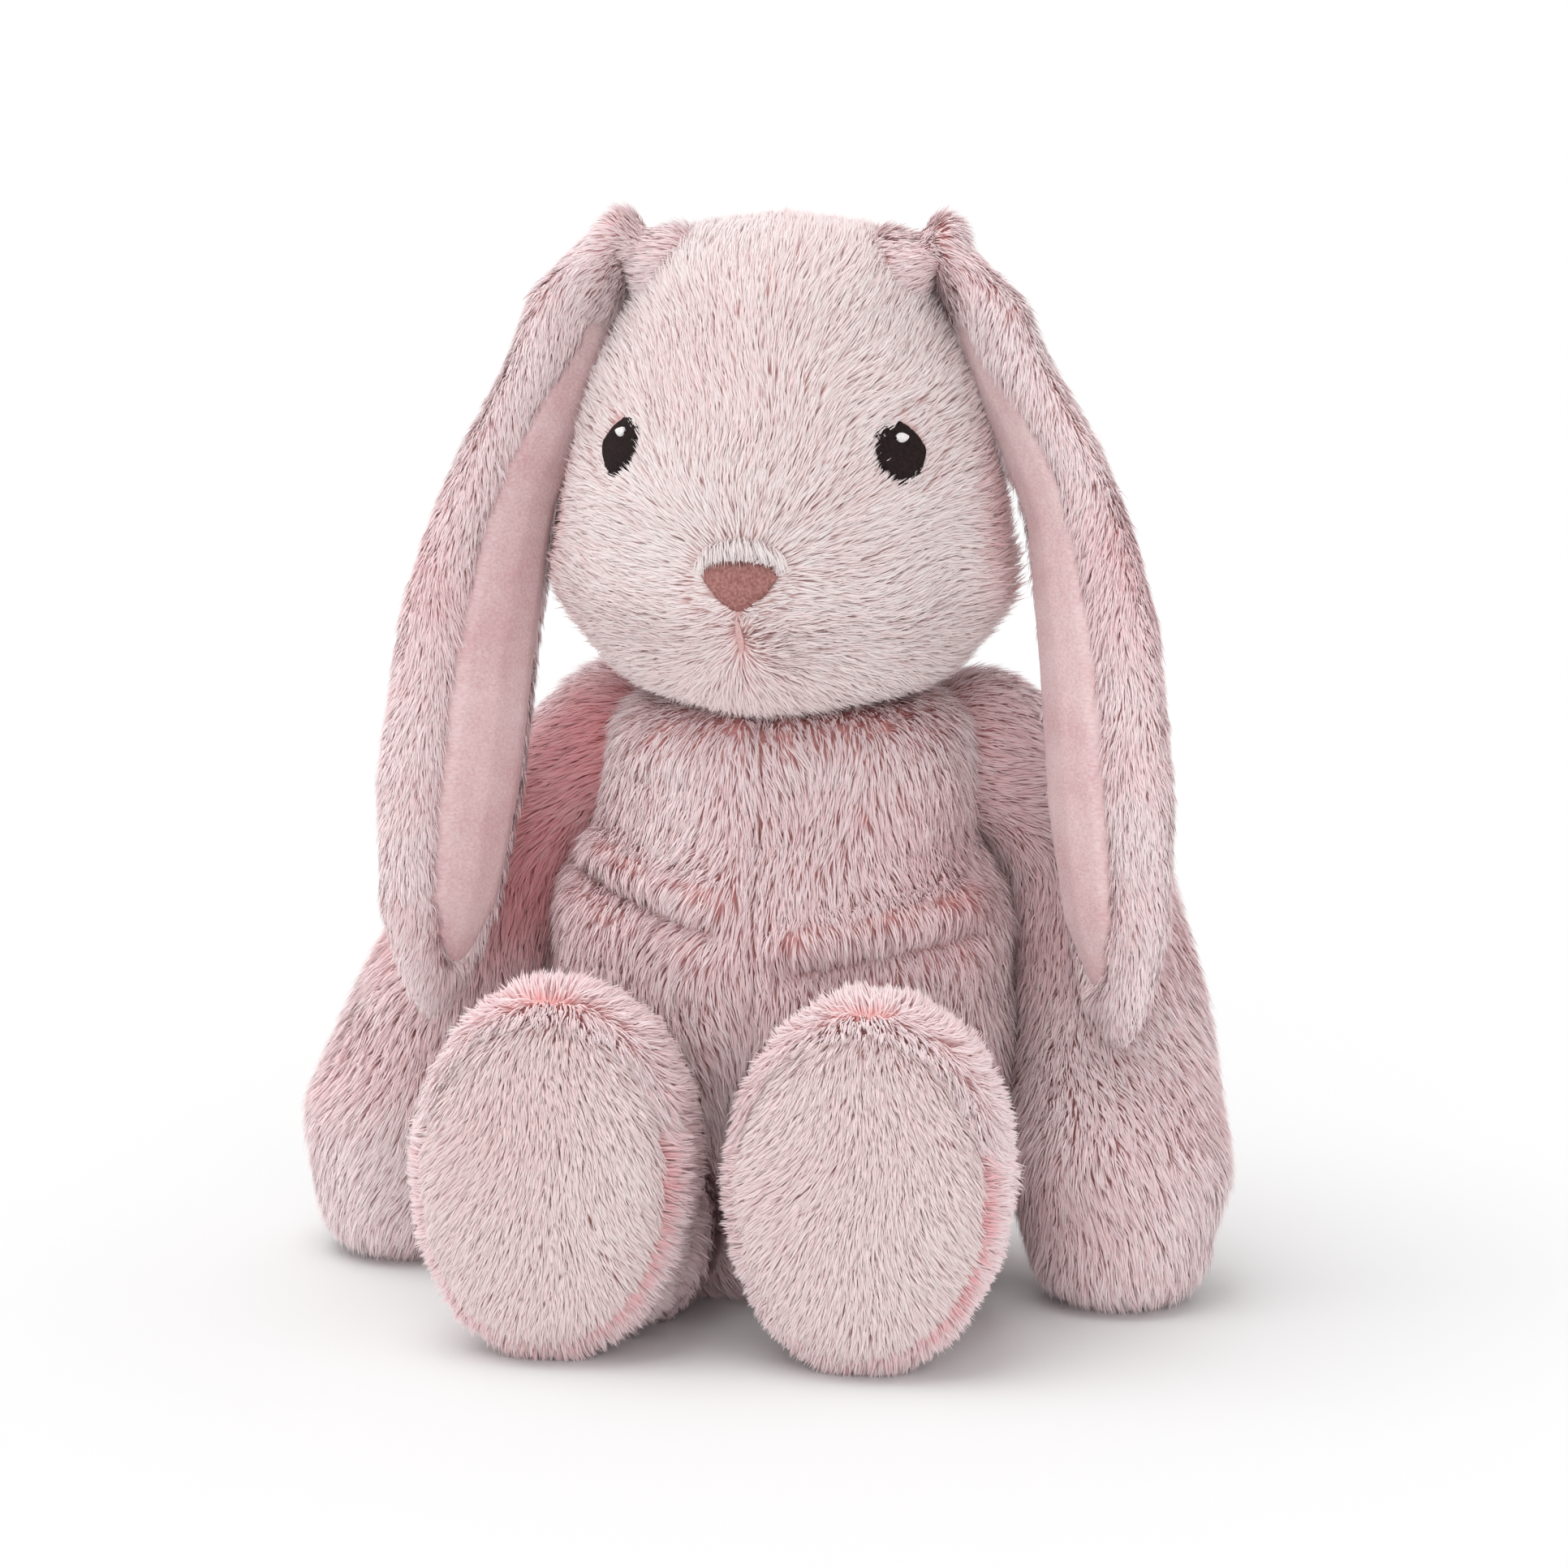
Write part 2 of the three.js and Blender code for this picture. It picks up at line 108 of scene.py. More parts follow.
# How the stuffing sits, in metres. A height is a place's z, and +x is the toy's left.
COLLAR = 163 * MM                   # the height where the chest swells under the chin
CHEST_DIP = 140 * MM                # the height of the shallow dip below that
CREASES = ((1, 107 * MM, 0.16), (-1, 117 * MM, 0.22))    # each crease's side, height at x = 0 and rise
SHOULDER = 44 * MM                  # how far out each shoulder swells
SHOULDER_SWELL = (9 * MM, 4 * MM)   # how much, at the left and at the right
FLANK = 112 * MM                    # the height where the flanks swell
CHEEK = 205 * MM                    # the height of the cheeks
CROWN = (270 * MM, 300 * MM)        # the crown's lift starts at the first height, full at the second
CHIN = (165 * MM, 215 * MM)         # the chin's drop is full at the first height, gone at the second
PAW_REST = {1: (-3 * MM, 7 * MM), -1: (11 * MM, -11 * MM)}   # each paw's move outward and forward
EAR_HANG = 5 * MM                   # how much further out the left ear hangs
FOOT_LEAN = np.array([-5.5 * MM, 0, 0])    # how far both feet lean aside


# ---------------------------------------------------------------- places taken from the frame


def centre(node):
    low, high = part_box(node)
    return np.array((low + high) / 2)


def joint_place(name):
    return np.array(next(j["pos_m"] for j in frame["joints"] if j["name"] == name))


# ---------------------------------------------------------------- materials


def material(name, colour, roughness=0.9, sheen=0.0):
    """A new material with its shader's plain values, as (material, nodes, links, shader)."""
    made = bpy.data.materials.new(name)
    made.use_nodes = True
    nodes = made.node_tree.nodes
    shader = nodes["Principled BSDF"]
    shader.inputs["Base Color"].default_value = (*colour, 1)
    shader.inputs["Roughness"].default_value = roughness
    shader.inputs["Specular IOR Level"].default_value = 0.06
    shader.inputs["Sheen Weight"].default_value = sheen
    shader.inputs["Sheen Roughness"].default_value = 0.5
    return made, nodes, made.node_tree.links, shader


def ramp(nodes, stops):
    """A colour ramp through (place, colour) stops."""
    made = nodes.new("ShaderNodeValToRGB")
    elements = made.color_ramp.elements
    for index, (place, colour) in enumerate(stops):
        element = elements[index] if index < 2 else elements.new(place)
        element.position = place
        element.color = (*colour, 1)
    return made


def coloured(sockets, name):
    """The colour socket of this name: a mix node has one of the same name for each data type."""
    return next(s for s in sockets if s.name == name and s.type == "RGBA")


def pile_material(name, deep, pale):
    """Fur: each strand goes from its dark root to its light tip, between a deep and a pale shade.

    deep and pale are (root, middle, tip) colours. A strand's place across its bake map is its
    shade, and its place up the map is how far along the strand it is. The deep colours are painted
    shade: the pieces below mix them in most where they paint shade, and a little everywhere. The
    darker, redder root of each strand is partly painted shade, the reddish shade deep in the pile.
    """
    made, nodes, links, shader = material(name, pale[2], roughness=0.9, sheen=0.08)
    place = nodes.new("ShaderNodeUVMap")
    place.uv_map = "OFBake"
    split = nodes.new("ShaderNodeSeparateXYZ")
    mix = nodes.new("ShaderNodeMix")
    mix.data_type = "RGBA"
    links.new(place.outputs["UV"], split.inputs[0])
    links.new(split.outputs["X"], mix.inputs["Factor"])
    for colours, socket in ((deep, "A"), (pale, "B")):
        along = ramp(nodes, zip((0.0, 0.45, 1.0), colours))
        links.new(split.outputs["Y"], along.inputs["Fac"])
        links.new(along.outputs["Color"], coloured(mix.inputs, socket))
    links.new(coloured(mix.outputs, "Result"), shader.inputs["Base Color"])
    return made


def bumped(nodes, links, shader, height, strength, distance):
    """Gives a shader's surface a relief from this height, up to distance metres deep."""
    bump = nodes.new("ShaderNodeBump")
    bump.inputs["Strength"].default_value = strength
    bump.inputs["Distance"].default_value = distance
    links.new(height, bump.inputs["Height"])
    links.new(bump.outputs["Normal"], shader.inputs["Normal"])


def noise(nodes, links, scale, detail=3.0, stretch=(1, 1, 1)):
    """Fine random variation over an object's own coordinates."""
    place = nodes.new("ShaderNodeTexCoord")
    mapping = nodes.new("ShaderNodeMapping")
    mapping.inputs["Scale"].default_value = stretch
    made = nodes.new("ShaderNodeTexNoise")
    made.inputs["Scale"].default_value = scale
    made.inputs["Detail"].default_value = detail
    links.new(place.outputs["Object"], mapping.inputs["Vector"])
    links.new(mapping.outputs["Vector"], made.inputs["Vector"])
    return made


def backing_material(name, colour):
    """The knitted backing that the pile grows from."""
    made, nodes, links, shader = material(name, colour, roughness=0.95)
    knit = noise(nodes, links, 900, stretch=(1, 1, 0.5))
    bumped(nodes, links, shader, knit.outputs["Fac"], 0.4, 0.4 * MM)
    return made


def velvet_material():
    """Short velvety pile: a fine grain, with soft patches where it is brushed up or down."""
    made, nodes, links, shader = material("velvet", (0.82, 0.56, 0.57), roughness=0.8, sheen=0.3)
    grain = noise(nodes, links, 1400, detail=4, stretch=(0.35, 1, 1))
    patches = noise(nodes, links, 60, detail=2)
    mix = nodes.new("ShaderNodeMix")
    mix.data_type = "FLOAT"
    mix.inputs["Factor"].default_value = 0.45
    links.new(grain.outputs["Fac"], mix.inputs["A"])
    links.new(patches.outputs["Fac"], mix.inputs["B"])
    shades = ramp(nodes, ((0.36, (0.72, 0.45, 0.47)), (0.62, (0.87, 0.67, 0.67))))
    links.new(mix.outputs["Result"], shades.inputs["Fac"])
    links.new(shades.outputs["Color"], shader.inputs["Base Color"])
    bumped(nodes, links, shader, grain.outputs["Fac"], 0.5, 0.5 * MM)
    return made


def thread_material(name, dark, light, roughness=0.5):
    """Embroidery thread, twisted, with a soft gloss."""
    made, nodes, links, shader = material(name, light, roughness=roughness)
    shader.inputs["Specular IOR Level"].default_value = 0.22
    twist = noise(nodes, links, 1100, detail=2)
    shades = ramp(nodes, ((0.35, dark), (0.65, light)))
    links.new(twist.outputs["Fac"], shades.inputs["Fac"])
    links.new(shades.outputs["Color"], shader.inputs["Base Color"])
    bumped(nodes, links, shader, twist.outputs["Fac"], 0.35, 0.2 * MM)
    return made


# The deep colours of each pile are painted shade, and the darker roots are partly painted shade.
FUR = pile_material(
    "pile",
    deep=((0.77, 0.20, 0.20), (0.86, 0.36, 0.38), (0.90, 0.49, 0.52)),
    pale=((0.92, 0.50, 0.49), (0.96, 0.80, 0.81), (0.97, 0.89, 0.90)),
)
FACE_FUR = pile_material(
    "face_pile",
    deep=((0.78, 0.28, 0.27), (0.87, 0.45, 0.46), (0.90, 0.58, 0.59)),
    pale=((0.89, 0.60, 0.58), (0.92, 0.83, 0.82), (0.925, 0.90, 0.895)),
)
SOLE_FUR = pile_material(
    "sole_pile",
    deep=((0.80, 0.30, 0.29), (0.86, 0.54, 0.54), (0.88, 0.64, 0.64)),
    pale=((0.86, 0.52, 0.50), (0.90, 0.77, 0.76), (0.92, 0.86, 0.85)),
)
BACKING = backing_material("backing", (0.83, 0.44, 0.42))
FACE_BACKING = backing_material("face_backing", (0.87, 0.63, 0.61))
VELVET = velvet_material()
EYE_THREAD = thread_material("eye_thread", (0.006, 0.002, 0.002), (0.020, 0.008, 0.007), 0.6)
WHITE_THREAD = thread_material("white_thread", (0.80, 0.78, 0.77), (0.92, 0.90, 0.89))
NOSE_THREAD = thread_material("nose_thread", (0.30, 0.12, 0.11), (0.47, 0.23, 0.21))
MOUTH_THREAD = thread_material("mouth_thread", (0.62, 0.38, 0.37), (0.76, 0.52, 0.50))


# ---------------------------------------------------------------- skins


def link(name, mesh, finish):
    """A new object in the scene with this mesh and material."""
    made = bpy.data.objects.new(name, mesh)
    bpy.context.scene.collection.objects.link(made)
    mesh.materials.clear()
    mesh.materials.append(finish)
    return made


def settle(obj):
    """Applies an object's modifiers to its mesh."""
    view = bpy.context.evaluated_depsgraph_get()
    view.update()
    mesh = bpy.data.meshes.new_from_object(obj.evaluated_get(view))
    obj.modifiers.clear()
    obj.data = mesh


def points_of(obj):
    places = np.empty(len(obj.data.vertices) * 3)
    obj.data.vertices.foreach_get("co", places)
    return places.reshape(-1, 3)


def normals_of(obj):
    normals = np.empty(len(obj.data.vertices) * 3)
    obj.data.vertex_normals.foreach_get("vector", normals)
    return normals.reshape(-1, 3)


def hull(bm):
    """The convex hull of a bmesh's points, which closes its sockets."""
    filled = bmesh.new()
    for vertex in bm.verts:
        filled.verts.new(vertex.co)
    made = bmesh.ops.convex_hull(filled, input=filled.verts)
    inside = {v for v in made["geom_interior"] if isinstance(v, bmesh.types.BMVert)}
    bmesh.ops.delete(filled, geom=list(inside), context="VERTS")
    return filled


def skin(name, nodes, filled=False, voxel=3 * MM, rounds=14, shape=None, finish=None):
    """A smooth closed skin round these CAD nodes, which it stands for. shape moves its points."""
    bm = bmesh.new()
    for node in nodes:
        bm.from_mesh(frame["nodes"][node].data)
    bmesh.ops.remove_doubles(bm, verts=bm.verts, dist=0.01 * MM)
    if filled:
        bm = hull(bm)
    mesh = bpy.data.meshes.new(name)
    bm.to_mesh(mesh)
    made = link(name, mesh, finish or BACKING)
    remesh = made.modifiers.new("remesh", "REMESH")
    remesh.mode = "VOXEL"
    remesh.voxel_size = voxel
    smooth = made.modifiers.new("smooth", "SMOOTH")
    smooth.iterations = rounds
    settle(made)
    if shape:
        moved = shape(points_of(made), normals_of(made))
        made.data.vertices.foreach_set("co", moved.astype(np.float32).ravel())
        made.data.update()
    made.data.shade_smooth()
    made.data.materials.clear()
    made.data.materials.append(finish or BACKING)
    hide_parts(*nodes)
    return made


# ---------------------------------------------------------------- the pile


def unit(vectors):
    return vectors / np.maximum(np.linalg.norm(vectors, axis=-1, keepdims=True), 1e-9)


def surface(obj):
    """A mesh's triangles as corner places and corner normals."""
    mesh = obj.data
    mesh.calc_loop_triangles()
    corners = np.empty(len(mesh.loop_triangles) * 3, np.int32)
    mesh.loop_triangles.foreach_get("vertices", corners)
    corners = corners.reshape(-1, 3)
    return points_of(obj)[corners], normals_of(obj)[corners]


def scatter(obj, count, rng):
    """Points spread evenly over a skin, with its normals there."""
    places, normals = surface(obj)
    across = np.cross(places[:, 1] - places[:, 0], places[:, 2] - places[:, 0])
    areas = np.linalg.norm(across, axis=1)
    chosen = rng.choice(len(areas), count, p=areas / areas.sum())
    shares = rng.random((count, 2))
    flipped = shares.sum(1) > 1
    shares[flipped] = 1 - shares[flipped]
    weights = np.column_stack((1 - shares.sum(1), shares))[:, :, None]
    return (places[chosen] * weights).sum(1), unit((normals[chosen] * weights).sum(1))


def waves(places, size, seed, count=7):
    """Smooth random values from about -1 to 1 that change over about size metres."""
    rng = np.random.default_rng(seed)
    turns = unit(rng.normal(size=(count, 3))) * (2 * math.pi / size) * rng.uniform(0.6, 1.3, (count, 1))
    return np.sin(places @ turns.T + rng.uniform(0, 2 * math.pi, count)).sum(1) / math.sqrt(count)


def outside(places, skins):
    """Which places aren't buried deep in any of these skins."""
    keep = np.ones(len(places), bool)
    for other in skins:
        tree = BVHTree.FromObject(other, bpy.context.evaluated_depsgraph_get())
        corners = np.array([v.co for v in other.data.vertices])
        near = keep & np.all((places > corners.min(0)) & (places < corners.max(0)), axis=1)
        for index in np.flatnonzero(near):
            nearest, normal, _, _ = tree.find_nearest(places[index])
            if (nearest - Vector(places[index])).dot(normal) > BURIED:
                keep[index] = False
    return keep


def nearest_tuft(places, tufts):
    """Which tuft each place belongs to."""
    tree = KDTree(len(tufts))
    for index, tuft in enumerate(tufts):
        tree.insert(tuft, index)
    tree.balance()
    return np.array([tree.find(place)[1] for place in places])


def fur(name, roots, normals, flow, seed, finish, length=PILE, width=STRAND, tuft=TUFT,
        lean=(42, 76), shade=0.7, swirl=0.22, gather=0.45):
    """A piece of pile: one tapered, bent ribbon of two faces for each root.

    flow gives the way the pile lies, and swirl how far that wanders. lean is the tilt from upright in
    degrees at root and tip, shade how pale the pile is, from 0 to 1, and gather how closely each
    tuft's tips come together.
    """
    rng = np.random.default_rng(seed)
    count = len(roots)
    tuft_count = max(1, int(count * (LONE_STRAND / tuft) ** 2))
    tuft_roots = roots[rng.choice(count, tuft_count, replace=False)]
    tuft_of = nearest_tuft(roots, tuft_roots)
    tuft_turn = rng.normal(0, 0.12, tuft_count)[tuft_of]
    tuft_length = rng.uniform(0.82, 1.12, tuft_count)[tuft_of]
    tuft_shade = rng.normal(0, 0.06, tuft_count)[tuft_of]

    along = unit(flow - (flow * normals).sum(1, keepdims=True) * normals)
    sideways = np.cross(normals, along)
    turn = swirl * waves(roots, 38 * MM, seed + 1) + tuft_turn + rng.normal(0, 0.08, count)
    along = along * np.cos(turn)[:, None] + sideways * np.sin(turn)[:, None]

    reach = (length * tuft_length * rng.uniform(0.85, 1.1, count))[:, None]
    tilt = np.radians(np.array(lean))[:, None] + rng.normal(0, 0.10, count)
    first = normals * np.cos(tilt[0])[:, None] + along * np.sin(tilt[0])[:, None]
    second = normals * np.cos(tilt[1])[:, None] + along * np.sin(tilt[1])[:, None]
    middle = roots + first * reach * 0.48
    tip = middle + second * reach * 0.52

    sums = np.zeros((tuft_count, 3))
    np.add.at(sums, tuft_of, tip)
    members = np.maximum(np.bincount(tuft_of, minlength=tuft_count), 1)
    tuft_tip = (sums / members[:, None])[tuft_of]
    tip = tip + (tuft_tip - tip) * gather
    middle = middle + (tuft_tip - middle) * gather * 0.12

    roll = rng.normal(0, 0.25, count)[:, None]
    across = unit(np.cross(second, normals))
    across = unit(across * np.cos(roll) + np.cross(across, first) * np.sin(roll))
    half = width * rng.uniform(0.75, 1.2, count)[:, None] / 2
    corners = np.stack((roots - across * half, roots + across * half,
                        middle + across * half * 0.8, middle - across * half * 0.8, tip), 1)

    tint = np.clip(shade + tuft_shade + rng.normal(0, 0.04, count), 0.02, 0.98)
    facing = unit(np.cross(across, second))
    return ribbons(name, corners, unit(normals * SOFTNESS + facing * (1 - SOFTNESS)), tint, finish)


def ribbons(name, corners, facing, tint, finish):
    """The mesh of a piece of pile, with each ribbon's shade and length along it in its bake map."""
    count = len(corners)
    mesh = bpy.data.meshes.new(name)
    mesh.vertices.add(count * 5)
    mesh.vertices.foreach_set("co", corners.astype(np.float32).ravel())
    first = np.arange(count, dtype=np.int32)[:, None] * 5
    order = np.array([0, 1, 2, 3, 3, 2, 4], np.int32)
    mesh.loops.add(count * 7)
    mesh.loops.foreach_set("vertex_index", (first + order).ravel())
    mesh.polygons.add(count * 2)
    starts = np.arange(count, dtype=np.int32)[:, None] * 7 + np.array([0, 4], np.int32)
    mesh.polygons.foreach_set("loop_start", starts.ravel())
    mesh.polygons.foreach_set("use_smooth", np.ones(count * 2, bool))
    mesh.update(calc_edges=True)
    places = mesh.uv_layers.new(name="OFBake")
    sides = np.array([-1, 1, 1, -1, -1, 1, 0]) * 0.015
    heights = np.array([0, 0, 0.5, 0.5, 0.5, 0.5, 1])
    uv = np.empty((count, 7, 2), np.float32)
    uv[:, :, 0] = tint[:, None] + sides
    uv[:, :, 1] = heights
    places.data.foreach_set("uv", uv.ravel())
    mesh.normals_split_custom_set_from_vertices(np.repeat(facing, 5, axis=0))
    return link(name, mesh, finish)


# ---------------------------------------------------------------- the pieces


def ready(obj, body):
    """Puts a piece on its body."""
    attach(obj, body)
    return obj


def bell(values, middle, width):
    """A smooth bump: 1 at middle, and gone beyond about width either side."""
    return np.exp(-(((values - middle) / (0.55 * width)) ** 2))


def step(values, start, end):
    """0 before start, 1 after end, and smooth between."""
    t = np.clip((values - start) / (end - start), 0, 1)
    return t * t * (3 - 2 * t)


def body_shape(places, normals):
    """The stuffed body: its chest under the chin, creases, sewn front seam, shoulders and flanks."""
    x, y, z = places.T
    front = step(-y, 5 * MM, 30 * MM)
    lift = 10 * MM * bell(z, COLLAR, 18 * MM) * (0.5 + 0.5 * front)
    lift -= 2.0 * MM * bell(z, CHEST_DIP, 6 * MM) * front * bell(x, 0, 45 * MM)
    for sign, start, rise in CREASES:
        crease = start + rise * np.abs(x)
        side = step(sign * x, 4 * MM, 14 * MM) * front
        lift += 5.5 * MM * bell(z, crease + 4 * MM, 7 * MM) * side
        lift -= 5.0 * MM * bell(z, crease - 5 * MM, 6 * MM) * side
    lift -= 3.2 * MM * bell(x, 0, 4 * MM) * front
    swell = np.where(x > 0, *SHOULDER_SWELL)
    lift += swell * bell(np.abs(x), SHOULDER, 26 * MM) * step(z, 130 * MM, 155 * MM)
    lift += 5 * MM * bell(z, FLANK, 32 * MM) * step(np.abs(x), 28 * MM, 48 * MM)
    return places + normals * lift[:, None]


def head_shape(places, normals):
    """A full crown that meets the ears, full cheeks, and a chin that rests on the chest."""
    x, y, z = places.T
    moved = places.copy()
    moved[:, 2] += 3 * MM * step(z, *CROWN)
    moved[:, 2] += 2.5 * MM * bell(np.abs(x), 25 * MM, 14 * MM) * step(z, 275 * MM, 295 * MM)
    moved[:, 2] -= 6.5 * MM * (1 - step(z, *CHIN))
    moved[:, 0] += np.sign(x) * 2.5 * MM * bell(z, CHEEK, 35 * MM) * step(np.abs(x), 20 * MM, 60 * MM)
    return moved


def arm_shape(sign):
    """The upper arm lies back behind the chest, and each paw rests where it happens to lie."""
    out, forward = PAW_REST[sign]

    def shape(places, normals):
        height = places[:, 2]
        low = 1 - step(height, 40 * MM, 125 * MM)
        moved = places.copy()
        moved[:, 0] += sign * out * low
        moved[:, 1] += 7 * MM * step(height, 110 * MM, 150 * MM) - forward * low
        return moved

    return shape


def leg_shape(places, normals):
    """Both feet lean a little to one side."""
    return places + FOOT_LEAN * (1 - step(places[:, 1:2], -95 * MM, -65 * MM))


def ear_shape(sign):
    """The ear leaves the crown in one low arch close to the head, and one ear hangs further out."""
    out = EAR_HANG if sign > 0 else 0

    def shape(places, normals):
        across, depth, height = sign * places[:, 0], places[:, 1], places[:, 2]
        arch = step(across, 38 * MM, 60 * MM) * step(height, 220 * MM, 275 * MM)
        behind = step(depth, -6 * MM, 10 * MM) * bell(height, 262 * MM, 45 * MM)
        inward = 5.5 * MM * arch + 6 * MM * behind * step(across, 35 * MM, 50 * MM)
        moved = places.copy()
        moved[:, 0] += sign * (out * (1 - step(height, 250 * MM, 295 * MM)) - inward)
        moved[:, 2] += 3 * MM * step(height, *CROWN)
        moved[:, 2] += 2 * MM * bell(across, 49 * MM, 8 * MM) * step(height, 280 * MM, 300 * MM)
        moved[:, 2] -= 3.5 * MM * bell(across, 36 * MM, 14 * MM) * step(height, 285 * MM, 300 * MM)
        below_top = step(300 * MM - height, 0, 10 * MM) * step(height, 255 * MM, 275 * MM)
        under = below_top * bell(across, 40 * MM, 18 * MM)
        moved[:, 0] -= sign * 3 * MM * under
        moved[:, 2] -= 6 * MM * under
        return moved

    return shape


head = skin("head_skin", ["head_cover", "head_stuffing"], filled=True, shape=head_shape,
            finish=FACE_BACKING)
body = skin("body_skin", ["body_cover", "body_stuffing", "seat_pellet_bag"], filled=True, shape=body_shape)
tail = skin("tail_skin", ["tail_cover", "tail_stuffing"], filled=True)
neck = skin("neck_skin", ["neck_stuffing"])
arms = {
    s: skin(f"arm_skin_{s}", [f"arm_cover_{s}", f"arm_stuffing_{s}"], rounds=24, shape=arm_shape(sign))
    for s, sign in SIDES.items()
}
legs = {
    s: skin(f"leg_skin_{s}", [f"leg_cover_{s}", f"leg_stuffing_{s}", f"foot_sole_{s}"],
            voxel=2.5 * MM, rounds=8, shape=leg_shape)
    for s in SIDES
}
ears = {
    s: skin(f"ear_skin_{s}", [f"ear_outer_{s}"], voxel=1.6 * MM, rounds=8, shape=ear_shape(sign))
    for s, sign in SIDES.items()
}
linings = {
    s: skin(f"ear_velvet_{s}", [f"ear_lining_{s}"], voxel=1.0 * MM, rounds=8, finish=VELVET,
            shape=ear_shape(sign))
    for s, sign in SIDES.items()
}


def oval(places, node, margin=0.0, shift=(0, 0, 0)):
    """How far out each place is from the middle of a node seen from the front: 1 on its oval edge.

    margin widens the oval all round, and shift moves it.
    """
    low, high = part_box(node)
    reach = np.array(high - low) / 2 + margin
    away = (places - centre(node) - np.array(shift)) / reach
    return np.hypot(away[:, 0], away[:, 2])


def from_line(places, start, end):
    """The way from the nearest point of a line to each place."""
    along = end - start
    share = np.clip((places - start) @ along / (along @ along), 0, 1)
    return places - (start + share[:, None] * along)


def face_flow(places):
    """The face's pile lies away from the nose and the seam below it, and hangs down at the back."""
    nose_low, nose_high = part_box("nose")
    depth = nose_low.y + 5 * MM
    nose = np.array([0, depth, (nose_low.z + nose_high.z) / 2])
    mouth = np.array([0, depth + 4 * MM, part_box("mouth_stitch")[0].z])
    hanging = step(places[:, 1:2], 0, 45 * MM)
    return unit(from_line(places, nose, mouth)) * (1 - hanging) + np.array([0, 0, -1]) * hanging


def pile(name, skin_obj, count, flow, seed, body_name, skins=(), keep=None, shade=0.7, finish=FUR,
         slot="plush", **options):
    """A piece of pile all over a skin, or where keep says, but not where other skins bury it."""
    rng = np.random.default_rng(seed)
    roots, normals = scatter(skin_obj, count, rng)
    chosen = outside(roots, skins)
    if keep is not None:
        chosen &= keep(roots, normals)
    roots, normals = roots[chosen], normals[chosen]
    tint = shade(roots) if callable(shade) else shade + 0.07 * waves(roots, 55 * MM, seed + 5)
    lengths = options.pop("length", PILE)
    if callable(lengths):
        lengths = lengths(roots)
    made = fur(name, roots, normals, flow(roots), seed, finish, shade=tint, length=lengths, **options)
    return ready(made, body_name)


def head_pile():
    """The face's pile, short round the eyes and nose, full on the cheeks, with painted shade on the head's
    front sides beside the ears.
    """
    low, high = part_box("head_cover")
    half_width = (high.x - low.x) / 2

    def bare(places):
        found = (oval(places, "nose", -2.2 * MM) < 1) & (places[:, 1] < 0)
        for side in SIDES:
            found |= (oval(places, f"eye_{side}", -1.3 * MM, eye_shift(side)) < 1) & (places[:, 1] < 0)
        return found

    def lengths(places):
        near = np.zeros(len(places), bool)
        for node in ("eye_left", "eye_right", "nose"):
            near |= (oval(places, node, 3.5 * MM) < 1) & (places[:, 1] < 0)
        outer = step(np.abs(places[:, 0]), 0.7 * half_width, half_width)
        cheek = outer * bell(places[:, 2], CHEEK, 45 * MM)
        return np.where(near, 0.5, 0.82 + 0.4 * cheek) * PILE

    def shade(places):
        # Painted shade: a darker band on the head's front sides beside the ears, where their shadow falls.
        outer = step(np.abs(places[:, 0]), 0.84 * half_width, half_width)
        beside = outer * step(-places[:, 1], -5 * MM, 10 * MM)
        ear_shadow_band = bell(places[:, 2], 240 * MM, 90 * MM)
        return 0.84 + 0.05 * waves(places, 60 * MM, 11) - 0.55 * beside * ear_shadow_band

    both = [ears["left"], ears["right"]]
    smooth = {"lean": (48, 79), "tuft": 1.45 * MM, "gather": 0.3, "shade": shade, "finish": FACE_FUR}
    pile("head_pile_front", head, STRANDS["head_pile_front"], face_flow, 21, "head", both, length=lengths,
         keep=lambda places, normals: (places[:, 1] < 0) & ~bare(places), **smooth)
    pile("head_pile_back", head, STRANDS["head_pile_back"], face_flow, 22, "head", both, length=0.85 * PILE,
         keep=lambda places, normals: places[:, 1] >= 0, **smooth)


def body_pile():
    """The body's pile hangs down and parts along the seam, and painted light makes it palest in a band
    round the top of the body, against the chin's shadow.
    """

    def flow(places):
        x, y, z = places.T
        low_front = step(-y, 0, 30 * MM) * (1 - step(z, 70 * MM, 115 * MM))
        inward = -np.sign(x) * 0.65 * low_front * step(np.abs(x), 0, 12 * MM)
        apart = np.sign(x) * 0.28 * bell(x, 0, 7 * MM) * (1 - low_front)
        return np.stack((inward + apart, 0 * y, -np.ones(len(x))), 1)

    def shade(places):
        # Painted light: a paler band round the top of the body, where the chin's shadow falls.
        painted_light_under_chin = bell(places[:, 2], 166 * MM, 18 * MM)
        return 0.82 + 0.16 * painted_light_under_chin + 0.07 * waves(places, 55 * MM, 36)

    others = [arms["left"], arms["right"], legs["left"], legs["right"], tail]
    pile("body_pile_front", body, STRANDS["body_pile_front"], flow, 31, "torso", others, shade=shade,
         keep=lambda places, normals: places[:, 1] < 5 * MM)
    pile("body_pile_back", body, STRANDS["body_pile_back"], flow, 32, "torso", others, shade=shade,
         keep=lambda places, normals: places[:, 1] >= 5 * MM)


